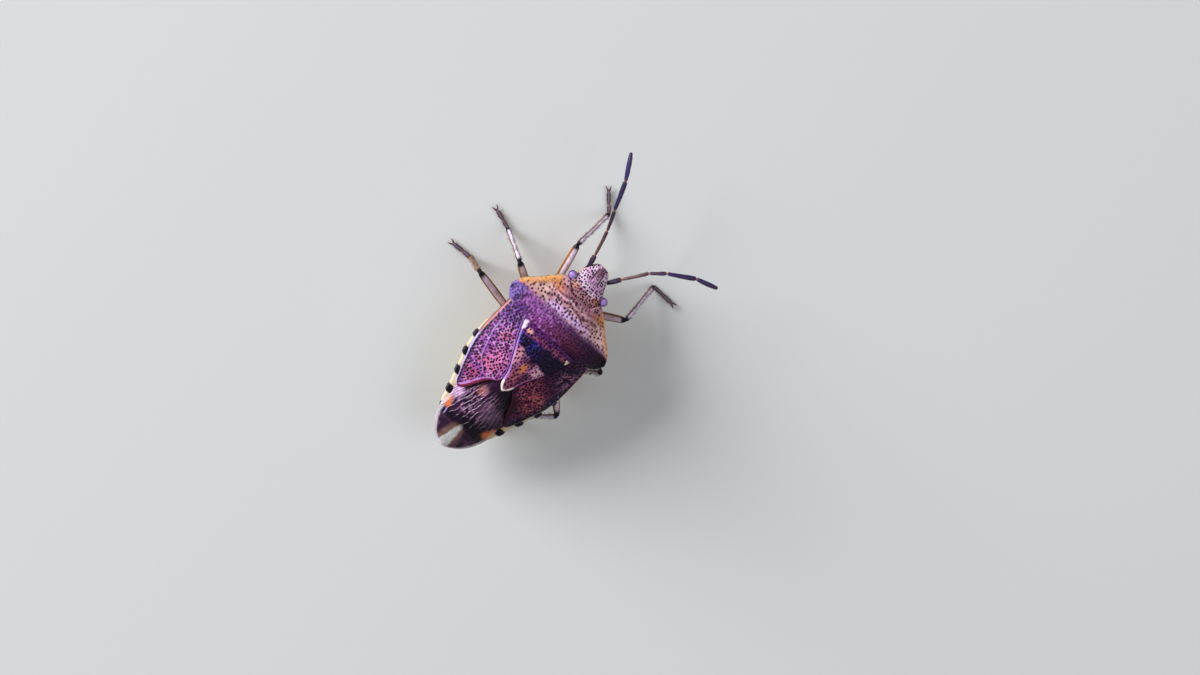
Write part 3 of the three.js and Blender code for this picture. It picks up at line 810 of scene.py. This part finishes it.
def membrane_paint(x, y, veins, wrinkles, outline):
    # Pale veins, and pale wrinkles that are a painted reflection on the crinkled film.
    lines = np.maximum(0.9 * veins, 0.8 * wrinkles) * smooth(6.95, 6.7, y)
    lean = 0.35 * (y - 6.85) + 0.08 * noise(x, y, 0.1, 78)
    left_orange = spot(x + lean, y, 1.0, 6.83, 0.13, 0.27, 0.5)
    orange = np.maximum(left_orange, spot(x - lean, y, -1.0, 6.84, 0.2, 0.3, 0.5))
    tail = smooth(7.25, 7.4, y)
    halo = spot(x, y, 0.08, 7.75, 0.3, 0.6, 0.35)
    ragged = 0.05 * (noise(x, y, 0.07, 76) - 0.5)
    window = spot(x + ragged, y, 0.04, 7.85, 0.15 + 0.05 * smooth(7.7, 8.1, y), 0.62, 0.22)
    clear = smooth(0.16, 0.09, outline + 0.03 * noise(x, y, 0.1, 79)) * smooth(6.3, 6.6, y)
    mottle = smooth(0.3, 0.6, noise(x, y, 0.16, 77)) * smooth(0.1, 0.25, np.abs(x))
    return layered(
        ground(x.shape, rgb(48, 16, 46)),
        (rgb(28, 10, 34), 0.8 * smooth(0.35, 0.65, noise(x, y, 0.2, 75))),
        (rgb(150, 84, 70), 0.7 * spot(x, y, 0.42, 5.8, 0.16, 0.18, 0.6)),
        (rgb(116, 84, 112), 0.6 * spot(x, y, -0.3, 6.2, 0.4, 0.4, 0.6)),
        (BLACK, 0.95 * spot(x, y, -0.3, 6.95, 0.62, 0.32, 0.5)),
        # Painted shadow under the scutellum's tip and the right wing.
        (BLACK, 0.95 * spot(x, y, -0.45, 5.6, 0.5, 0.4, 0.5)),
        (rgb(188, 134, 176), 0.6 * lines * smooth(-0.7, 0.2, x)),
        (rgb(128, 88, 110), 0.45 * lines * smooth(0.2, -0.3, x)),
        (rgb(212, 172, 212), 0.8 * spot(x, y, 1.02, 6.4, 0.24, 0.22, 0.5) * (1 - 0.6 * wrinkles)),
        (rgb(218, 116, 62), 0.85 * orange),
        (BLACK, 0.97 * spot(np.abs(x), y, 0.66, 7.18, 0.3, 0.16, 0.4)),
        (rgb(170, 140, 210), 0.8 * spot(x + 0.2 * (y - 7.2), y, 0.78, 7.17, 0.02, 0.13, 0.4)),
        (rgb(92, 60, 78), 0.9 * tail),
        (rgb(34, 14, 40), 0.9 * tail * mottle),
        (rgb(142, 104, 84), 0.55 * halo * smooth(7.15, 7.3, y)),
        (rgb(200, 206, 200), 0.92 * window * (1 - 0.35 * noise(x, y * 0.25, 0.03, 80))),
        (rgb(196, 184, 192), 0.8 * clear),
    )


def membrane(side):
    """The clear hind part of a forewing. The left one lies on the right one."""
    rows, cols = 273, 217
    y, u = np.meshgrid(np.linspace(5.15, 8.165, rows), np.linspace(0, 1, cols), indexing="ij")
    width = wing_width(y)
    under_corium = 0.14 * smooth(6.3, 6.0, y)
    if side == "left":
        low, high = np.maximum(overlap_line(y), -width), width - under_corium
    else:
        low, high = -width + under_corium, np.minimum(0.3, width)
    x = low + (high - low) * u
    bend = x * (1 - 0.13 * (y - 5.6)) + 0.02 * noise(x, y, 0.2, 71)
    wander = 0.1 * (noise(x, y, 0.3, 72) - 0.5) + 0.03 * (noise(x, y, 0.09, 74) - 0.5)
    fan = bend / (0.75 + 0.2 * (y - 5.5))
    phase = (fan + wander) * 6.4 * np.pi
    veins = np.exp(-((np.sin(phase) / 0.24) ** 2)) * smooth(5.45, 5.9, y) * smooth(7.35, 7.0, y)
    cross = noise(x, y * 0.5, 0.045, 73)
    wrinkles = smooth(0.55, 0.75, cross) * band(y, 5.75, 7.15, 0.25)
    outline = np.minimum(width - np.abs(x), (8.17 - y) * 0.9)
    top = wing_top(x, y) - FILM_DROP[side] - 0.08 * smooth(6.25, 5.9, y) * smooth(0.2, 0.6, np.abs(x))
    top += 0.022 * veins + 0.016 * (cross - 0.5) * smooth(7.6, 7.0, y) - rounded(outline, 0.03)
    bottom = top - FILM_THICKNESS
    paint = membrane_paint(x, y, veins, wrinkles, outline)
    build = Build()
    shell(build, x, y, top, bottom, paint, under=SMOKE, skip=4)
    build.make("membrane_" + side + "_film", FILM, "membrane_" + side)


# Abdomen and thorax

SEGMENT_ENDS = (4.54, 5.22, 5.88, 6.55, 7.2)


def abdomen_paint(x, y, out, black):
    rear = smooth(6.0, 6.7, y)
    return layered(
        ground(x.shape, CREAM),
        (ORANGE, 0.7 * rear * smooth(1.0, 0.85, out)),
        (rgb(222, 112, 50), 0.7 * smooth(6.55, 6.8, y) * smooth(0.93, 0.75, out)),
        (rgb(240, 220, 222), 0.5 * rear * smooth(0.9, 1.0, out) * smooth(7.0, 6.5, y)),
        (BLACK, black),
        (SMOKE, smooth(7.3, 7.5, y)),
    )


def belly_paint(x, y, out, black, groove, pits):
    spiracle = sum(spot(out, y, 0.78, end - 0.3, 0.03, 0.045, 0.3) for end in SEGMENT_ENDS)
    return layered(
        ground(x.shape, BELLY),
        (rgb(150, 110, 80), 0.5 * smooth(0.45, 0.75, noise(x, y, 0.35, 83))),
        (rgb(176, 92, 70), 0.6 * smooth(6.6, 7.4, y)),
        (rgb(104, 62, 44), 0.75 * pits),
        (rgb(120, 84, 56), 0.7 * groove * smooth(0.05, 0.2, out)),
        (BLACK, spiracle),
        (BLACK, black * smooth(0.9, 0.96, out)),
        (CREAM, (1 - np.clip(black, 0, 1)) * smooth(0.92, 0.98, out)),
    )


def abdomen():
    x, y, u = lens_grid(abdomen_width, 3.25, 8.01, rows=307, cols=159)
    ends = [y - end for end in SEGMENT_ENDS]
    knob = sum(smooth(-0.2, -0.05, d) * smooth(0.13, 0.08, d) for d in ends)
    black = sum(band(d, -0.17, 0.12, 0.025) for d in ends)
    groove = sum(np.exp(-(((d - 0.12) / 0.02) ** 2)) for d in ends)
    at_edge = smooth(0.8, 0.97, np.abs(u))
    x = x * (1 + 0.032 * knob * at_edge)
    edge = rim_height(y) - 0.1
    top, bottom = lens(u, edge, rim_height(y) + 0.02, belly_height(y), 2.2)
    pits = punctures(girth(x, bottom), y, 0.13, 0.034, 81, keep=0.8)
    top += 0.035 * knob * at_edge - 0.02 * groove
    arch = 0.035 * np.sin(np.clip((y - 3.9) / 0.67, 0, 5) % 1 * np.pi)
    keel = 0.06 * np.exp(-((x / 0.12) ** 2)) * smooth(6.6, 5.0, y)
    bottom = bottom - arch * (1 - 0.6 * np.abs(u)) - keel + 0.03 * groove + 0.012 * pits * (1 - at_edge)
    bottom += 0.2 * smooth(3.9, 3.4, y) ** 2
    paint = abdomen_paint(x, y, np.abs(u), black)
    under = belly_paint(x, y, np.abs(u), black, groove, pits)
    build = Build()
    shell(build, x, y, top, bottom, paint, under=under)
    build.make("abdomen_skin", SKIN, "abdomen")


COXAE = {"fore": (0.5, 1.75), "mid": (0.7, 2.55), "hind": (0.8, 3.35)}
HIP_Z = 0.56


def thorax():
    x, y, u = lens_grid(thorax_width, 1.2, 3.95, rows=211, cols=171)
    sutures = sum(np.exp(-(((y - line - 0.15 * np.abs(u)) / 0.022) ** 2)) for line in (2.02, 2.82))
    sutures = sutures * smooth(0.3, 0.45, np.abs(u))
    side = np.abs(x)
    boss = sum(np.exp(-(((side - cx) / 0.3) ** 2) - ((y - cy) / 0.26) ** 2) for cx, cy in COXAE.values())
    keel = 0.1 * np.exp(-((x / 0.06) ** 2)) * band(y, 1.7, 3.3, 0.2)
    top, bottom = lens(u, seam_height(y) - 0.2, wing_top(x, y) - 0.35, belly_height(y), 2.3)
    pits = punctures(girth(x, bottom), y, 0.12, 0.038, 91, keep=0.9) * smooth(0.2, 0.35, np.abs(x))
    ends = smooth(1.5, 1.2, y) ** 2 + smooth(3.66, 3.95, y) ** 2
    bottom = bottom - 0.05 * boss - keel + 0.03 * sutures + 0.016 * pits + 0.45 * ends
    under = layered(
        ground(x.shape, rgb(196, 166, 124)),
        (rgb(150, 112, 90), 0.6 * smooth(0.4, 0.7, noise(x, y, 0.3, 93))),
        (rgb(214, 182, 170), 0.5 * smooth(0.75, 0.95, np.abs(u))),
        (BLACK, 0.75 * sutures),
        (PIT, 0.85 * pits),
        (rgb(126, 88, 52), 0.6 * np.clip(boss, 0, 1)),
    )
    build = Build()
    shell(build, x, y, top, bottom, under, pits, under=under)
    build.make("thorax_skin", SKIN, "thorax")


def beak():
    build = Build()
    joints = [
        (0, 0.2, 1.12), (0, 0.42, 0.86), (0, 0.85, 0.66), (0, 1.5, 0.52), (0, 2.1, 0.44), (0, 2.5, 0.42),
    ]
    radii = through((0, 0.16), (0.2, 0.13), (0.5, 0.1), (0.8, 0.075), (1.0, 0.02))
    steps = 60
    path = smooth_path(joints, steps)
    share = np.linspace(0, 1, steps)
    rings = 0.012 * sum(np.exp(-(((share - joint) / 0.015) ** 2)) for joint in (0.24, 0.48, 0.72))

    def paint(share, turn):
        paint = ground(share.shape, rgb(150, 104, 60))
        paint = lay(paint, rgb(206, 160, 110), 0.6 * smooth(0.2, 0.9, np.sin(turn)))
        return lay(paint, BLACK, smooth(0.8, 0.95, share))

    tube(build, path, radii(share) + rings, paint, sides=20, flatten=0.8)
    build.make("beak_sheath", LIMB, "beak")


# Feelers

FEELER_JOINT = rgb(176, 112, 84)
ANTENNAE = {
    "left": [
        (0.4, 0.42, 1.4), (0.57, -0.1, 1.6), (0.96, -1.0, 2.0), (1.32, -1.67, 2.2),
        (1.76, -2.65, 2.3), (2.28, -3.5, 2.2),
    ],
    "right": [
        (-0.4, 0.42, 1.4), (-0.7, -0.1, 1.6), (-1.14, -0.9, 2.0), (-1.53, -1.3, 2.2),
        (-2.4, -1.85, 2.3), (-3.22, -2.1, 2.2),
    ],
}
# For each piece: its thickness at the start, middle and end, its colour and the colour of its end
ANTENNA_PIECES = [
    ((0.05, 0.085, 0.075), rgb(30, 12, 36), rgb(58, 34, 52)),
    ((0.045, 0.055, 0.06), rgb(104, 68, 50), rgb(64, 40, 44)),
    ((0.045, 0.06, 0.062), rgb(60, 38, 54), rgb(36, 20, 44)),
    ((0.056, 0.08, 0.08), rgb(34, 22, 70), rgb(26, 14, 52)),
    ((0.06, 0.084, 0.06), rgb(40, 28, 84), rgb(50, 32, 70)),
]


def antenna(side):
    build = Build()
    joints = np.array(ANTENNAE[side])
    for i, (thickness, colour, end) in enumerate(ANTENNA_PIECES):
        a, b = joints[i], joints[i + 1]
        share = np.linspace(0, 1, 26)
        bow = 0.03 * np.sin(share * np.pi)
        path = a + np.outer(share, b - a) + np.outer(bow, [0, 0, 1.0])
        root_r, middle_r, tip_r = thickness
        radii = through((0, root_r * 0.6), (0.06, root_r), (0.55, middle_r), (0.95, tip_r), (1, tip_r * 0.55))

        def paint(share, turn, colour=colour, end=end):
            paint = lay(ground(share.shape, colour), end, smooth(0.5, 1.0, share))
            # A faint pale streak along the upper side: a painted highlight.
            paint = lay(paint, rgb(150, 124, 170), 0.14 * smooth(0.75, 1.0, np.sin(turn)))
            return lay(paint, FEELER_JOINT, smooth(0.06, 0.02, share))

        tube(build, path, radii(share), paint)
        hairs(build, path, radii(share), 70, 0.035, rgb(50, 34, 50))
        if i:
            half = 0.04 * (b - a) / np.linalg.norm(b - a)
            tube(build, np.linspace(a - half, a + half, 5), [0.03, 0.04, 0.042, 0.04, 0.03], FEELER_JOINT)
    build.make("antenna_" + side + "_feeler", LIMB, "antenna_" + side)


# Legs

LEGS = {
    "fore_left": {"knee": (1.2, 0.02, 1.35), "ankle": (0.77, -1.42), "toe": (1.34, -2.0)},
    "fore_right": {"knee": (-1.88, 0.84, 1.35), "ankle": (-2.16, -0.62), "toe": (-3.1, -0.6)},
    "mid_left": {"knee": (2.42, 1.75, 1.8), "ankle": (3.05, 1.27), "toe": (3.77, 1.05)},
    "mid_right": {"knee": (-2.5, 2.72, 1.45), "ankle": (-2.05, 3.4), "toe": (-2.1, 4.15)},
    "hind_left": {"knee": (3.22, 2.9, 1.85), "ankle": (3.33, 2.86), "toe": (4.09, 2.9)},
    "hind_right": {"knee": (-2.48, 4.85, 1.2), "ankle": (-1.7, 5.9), "toe": (-1.5, 6.6)},
}
COXA, FOOT_JOINT = rgb(150, 110, 66), rgb(150, 62, 58)
CLAW, BRISTLE = rgb(96, 40, 36), rgb(120, 96, 84)
FEMUR, TIBIA, TARSUS = rgb(176, 118, 48), rgb(140, 100, 72), rgb(56, 22, 50)
HIGHLIGHT = rgb(240, 222, 248)


coxa_radii = through((0, 0.08), (0.15, 0.19), (0.45, 0.22), (0.8, 0.17), (1, 0.07))
thigh_radii = through(
    (0, 0.07), (0.05, 0.1), (0.12, 0.1), (0.2, 0.125), (0.6, 0.14), (0.92, 0.115), (1, 0.06),
)
shin_radii = through((0, 0.05), (0.05, 0.085), (0.3, 0.072), (0.8, 0.075), (0.96, 0.088), (1, 0.05))


def limb_paint(colour, dark_start=0.0, dark_end=0.0, line=0.9):
    """Brown with a painted highlight along its upper side, a dark line under it, and dark ends."""

    def paint(share, turn):
        up = np.sin(turn)
        made = lay(ground(share.shape, colour), HIGHLIGHT, line * smooth(0.74, 0.86, up))
        made = lay(made, rgb(34, 14, 34), 0.9 * band(up, 0.4, 0.68, 0.08))
        speckle = smooth(0.62, 0.75, noise(share * 30, turn * 2, 1.0, 5))
        made = lay(made, rgb(52, 26, 36), 0.25 * speckle)
        if dark_start:
            made = lay(made, BLACK, smooth(dark_start, dark_start * 0.6, share))
        if dark_end:
            made = lay(made, BLACK, smooth(1 - dark_end, 1 - dark_end * 0.6, share))
        return made

    return paint


def straight(a, b, steps=24):
    return np.asarray(a) + np.outer(np.linspace(0, 1, steps), np.asarray(b) - np.asarray(a))


def claw(build, root, way, side):
    """One curved claw at the end of a foot."""
    across = np.array([-way[1], way[0], 0.0])
    root = np.asarray(root) + 0.03 * side * across
    stations = [root, root + 0.07 * way + 0.035 * side * across + [0, 0, 0.03]]
    stations.append(root + 0.13 * way + 0.055 * side * across + [0, 0, 0.0])
    stations.append(root + 0.15 * way + 0.06 * side * across - [0, 0, 0.06])
    tube(build, smooth_path(stations, 14), np.linspace(0.032, 0.006, 14), CLAW, sides=10)


def foot(build, heel, sole, toe):
    """The two parts of a foot, each with a joint at its start."""
    for start, end, thick in ((heel, sole, 0.068), (sole, toe, 0.07)):
        way = (end - start) / np.linalg.norm(end - start)
        path = straight(start - 0.02 * way, end, 16)
        width = through((0, 0.03), (0.15, thick * 0.85), (0.75, thick), (1, thick * 0.5))
        radii = width(np.linspace(0, 1, 16))
        tube(build, path, radii, limb_paint(TARSUS, line=0.2), sides=16, flatten=0.85)
        joint = straight(start - 0.03 * way, start + 0.03 * way, 4)
        tube(build, joint, [0.035, 0.045, 0.045, 0.035], FOOT_JOINT)
        hairs(build, path, radii, 40, 0.07, rgb(150, 120, 100), lean=0.8)


def leg(name):
    pair, side = name.split("_")
    sign = SIDES[side]
    cx, cy = COXAE[pair]
    joints = LEGS[name]
    socket = np.array([sign * cx * 0.92, cy, HIP_Z + 0.25])
    hip = np.array([sign * cx * 1.15, cy, HIP_Z])
    knee = np.array(joints["knee"])
    heel = np.array([*joints["ankle"], 0.14])
    toe = np.array([*joints["toe"], 0.09])
    sole = heel + (toe - heel) * 0.42 - [0, 0, 0.03]
    build = Build()
    coxa_r = coxa_radii(np.linspace(0, 1, 14))
    tube(build, straight(socket, hip - [0, 0, 0.06], 14), coxa_r, COXA, sides=20)
    thigh = straight(hip, knee, 40)
    share = np.linspace(0, 1, 40)
    thigh_r = thigh_radii(share)
    tube(build, thigh, thigh_r, limb_paint(FEMUR, dark_end=0.1), sides=24)
    shin = straight(knee, heel, 40)
    shin_r = shin_radii(share)
    tube(build, shin, shin_r, limb_paint(TIBIA, dark_start=0.07, dark_end=0.12), sides=18)
    foot(build, heel, sole, toe)
    hairs(build, thigh, thigh_r, 60, 0.05, BRISTLE)
    hairs(build, shin, shin_r, 150, 0.075, BRISTLE, lean=0.8)
    way = (toe - sole) / np.linalg.norm(toe - sole) * [1, 1, 0]
    for turn in (1, -1):
        claw(build, toe, way, turn)
    build.make("leg_" + name + "_limb", LIMB, "leg_" + name)


head()
for side in SIDES:
    eye(side)
pronotum()
scutellum()
for side in SIDES:
    corium(side)
    membrane(side)
abdomen()
thorax()
beak()
for side in SIDES:
    antenna(side)
for name in LEGS:
    leg(name)

# Floor, light and camera

FLOOR_SIZE = 0.4


def floor():
    mesh = bpy.data.meshes.new("floor")
    half = FLOOR_SIZE / 2
    corners = [(-half, -half, 0), (half, -half, 0), (half, half, 0), (-half, half, 0)]
    mesh.from_pydata(corners, [], [(0, 1, 2, 3)])
    paper = bpy.data.materials.new("floor_paper")
    paper.use_nodes = True
    shader = paper.node_tree.nodes["Principled BSDF"]
    set_inputs(shader, Base_Color=(0.8, 0.82, 0.8, 1), Roughness=0.9)
    mesh.materials.append(paper)
    place("floor", mesh)


# The camera looks down on the bug's back, from a little to its left and a little in front.
HEAD_TIP = in_frame([0, 0, 1.45])
TO_CAMERA = Vector((0.30, -0.05, 0.953)).normalized()
HEADING = math.radians(46.96)  # how far the bug's heading is turned up from the image's right
IMAGE_WIDTH, IMAGE_HEIGHT = 1200, 675
PIXELS_PER_MM = 29.5
HEAD_PIXEL = (604, 267.5)
DISTANCE = 150 * MM
SENSOR = 36


def camera():
    forward = Vector((0, -1, 0))
    forward = (forward - TO_CAMERA * forward.dot(TO_CAMERA)).normalized()
    turned = TO_CAMERA.cross(forward)
    right = math.cos(HEADING) * forward - math.sin(HEADING) * turned
    up = math.sin(HEADING) * forward + math.cos(HEADING) * turned
    aside = (HEAD_PIXEL[0] - IMAGE_WIDTH / 2) / PIXELS_PER_MM * MM
    above = (IMAGE_HEIGHT / 2 - HEAD_PIXEL[1]) / PIXELS_PER_MM * MM
    target = Vector(HEAD_TIP) - right * aside - up * above
    data = bpy.data.cameras.new("camera")
    data.sensor_width = SENSOR
    data.lens = SENSOR * DISTANCE / (IMAGE_WIDTH / PIXELS_PER_MM * MM)
    data.clip_start = 0.001
    data.clip_end = 10
    made = place("camera", data)
    turn = Matrix((right, up, TO_CAMERA)).transposed().to_4x4()
    made.matrix_world = Matrix.Translation(target + TO_CAMERA * DISTANCE) @ turn
    bpy.context.scene.camera = made
    return right, up


def lamp(name, direction, distance, size, power, colour):
    data = bpy.data.lights.new(name, "AREA")
    data.size = size
    data.energy = power
    data.color = colour
    made = place(name, data)
    direction = Vector(direction).normalized()
    made.location = direction * distance
    made.rotation_euler = direction.to_track_quat("Z", "Y").to_euler()


floor()
image_right, image_up = camera()
key = TO_CAMERA * 0.65 - image_right * 0.8 + image_up * 0.5
lamp("key_light", key, 0.36, 0.18, 2.2, (0.94, 0.95, 1.0))
fill = TO_CAMERA * 0.7 + image_right * 0.9 - image_up * 0.4
lamp("fill_light", fill, 0.36, 0.3, 0.3, (1.0, 0.93, 0.9))
world = bpy.data.worlds.new("studio")
world.use_nodes = True
set_inputs(world.node_tree.nodes["Background"], Color=(0.82, 0.86, 0.95, 1), Strength=0.26)
bpy.context.scene.world = world
bpy.context.scene.view_settings.view_transform = "Standard"
